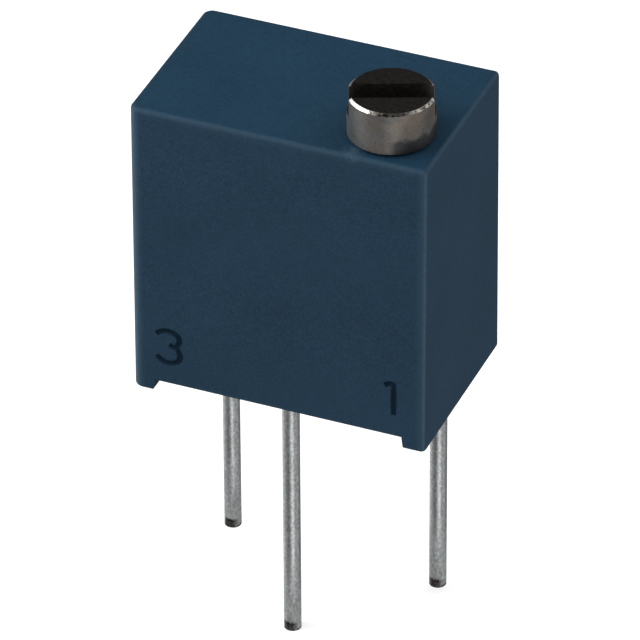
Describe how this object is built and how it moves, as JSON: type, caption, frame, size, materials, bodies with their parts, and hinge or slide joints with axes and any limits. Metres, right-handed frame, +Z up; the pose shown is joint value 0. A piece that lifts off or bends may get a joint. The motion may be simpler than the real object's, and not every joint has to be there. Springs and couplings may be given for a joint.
{
  "type": "multi-turn trimmer potentiometer",
  "caption": "Small square trimmer potentiometer with a top adjustment screw, worm-driven wiper and round leads for board mounting.",
  "frame": {"origin": "axis of the middle lead (lead 2) at the board's face, which the feet stand on", "axes": "+Z up out of the board towards the adjustment screw, +X towards lead 1, -Y towards the face with the pin numbers"},
  "size_m": [0.007, 0.0046, 0.0148],
  "materials": {
    "housing": "moulded, dull, dark teal blue",
    "screw_metal": "nickel plated, dull",
    "seal_rubber": "smooth",
    "clip_steel": "bright",
    "rotor_plastic": "moulded",
    "wiper_metal": "spring alloy, satin",
    "ceramic": "fired alumina ceramic",
    "resistive_film": "fired cermet film",
    "conductor_film": "fired silver film",
    "lead_metal": "tinned, dull, mottled",
    "solder_metal": "bright",
    "carrier_plastic": "moulded",
    "seal_epoxy": "cast epoxy"
  },
  "bodies": {
    "case": {"housing": "housing", "substrate": "ceramic", "resistive_track": "resistive_film", "collector_track": "conductor_film", "end_pad_1": "conductor_film", "end_pad_3": "conductor_film", "lead_1": "lead_metal", "lead_2": "lead_metal", "lead_3": "lead_metal", "solder_1": "solder_metal", "solder_2": "solder_metal", "solder_3": "solder_metal", "base_plate": "carrier_plastic", "base_seal": "seal_epoxy"},
    "screw": {"adjustment_screw": "screw_metal", "screw_o_ring": "seal_rubber", "retaining_clip": "clip_steel"},
    "rotor": {"worm_wheel": "rotor_plastic", "wiper": "wiper_metal"}
  },
  "joints": [
    {"name": "screw_turn", "type": "hinge", "parent": "case", "child": "screw", "pos_m": [0.00223, 0.00044, 0.00736], "axis": [0, 0, 1], "range_deg": [-2160, 2160]},
    {"name": "wheel_turn", "type": "hinge", "parent": "case", "child": "rotor", "pos_m": [0, 0.00044, 0.00356], "axis": [0, 1, 0], "range_deg": [-135, 135]}
  ],
  "couplings": [
    {"joint": "wheel_turn", "follows": "screw_turn", "ratio": 0.0625}
  ]
}
